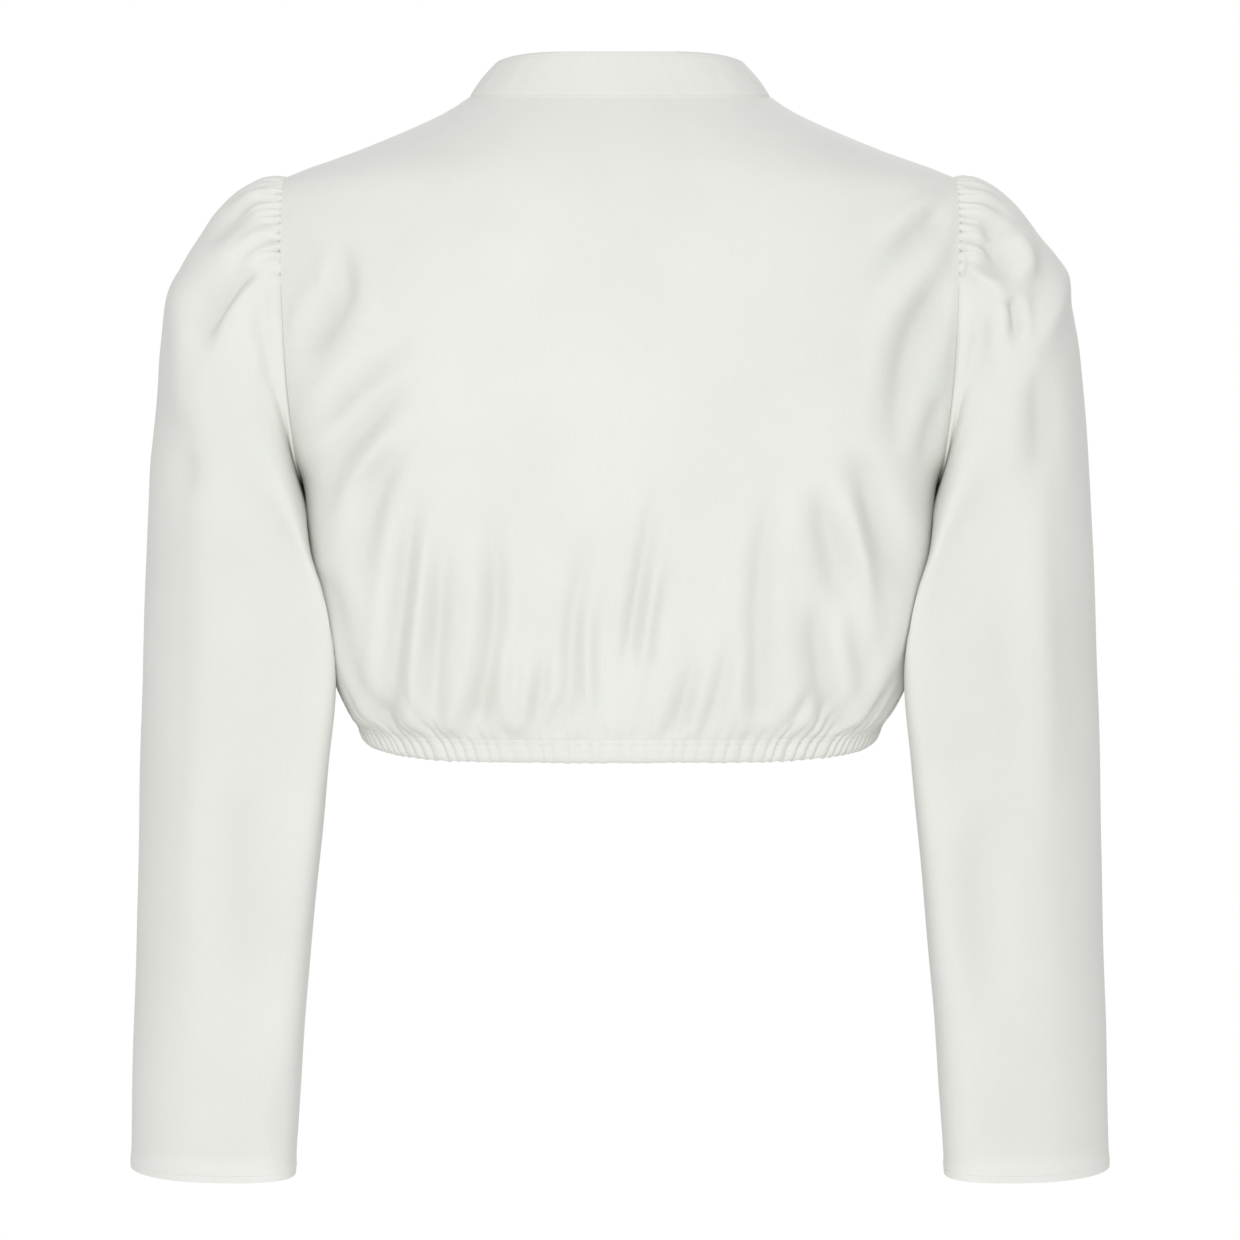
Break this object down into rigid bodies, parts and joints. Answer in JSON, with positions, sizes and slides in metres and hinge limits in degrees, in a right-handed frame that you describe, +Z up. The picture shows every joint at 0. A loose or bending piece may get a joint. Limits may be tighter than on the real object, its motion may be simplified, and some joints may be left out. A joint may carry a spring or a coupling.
{
  "type": "dirndl blouse",
  "caption": "Short long-sleeved blouse with a stand collar, gathered sleeve heads and an elastic gathered hem, filled out as worn.",
  "frame": {"origin": "on the mid-plane, level with the two neck points, where the wearer's shoulders carry the blouse", "axes": "+Z up, the front faces -Y, the back +Y, the wearer's left +X"},
  "size_m": [0.5636, 0.2351, 0.6368],
  "materials": {
    "cotton": "off-white plain-woven cotton, matt with a slight sheen",
    "button": "off-white polished plastic"
  },
  "bodies": {
    "root": {"back_panel": "cotton", "front_left": "cotton", "front_right": "cotton", "collar": "cotton", "sleeve_left": "cotton", "sleeve_right": "cotton", "hem_casing": "cotton", "button_band": "cotton", "button_1": "button", "button_2": "button", "button_3": "button", "button_4": "button", "button_5": "button"}
  },
  "joints": []
}
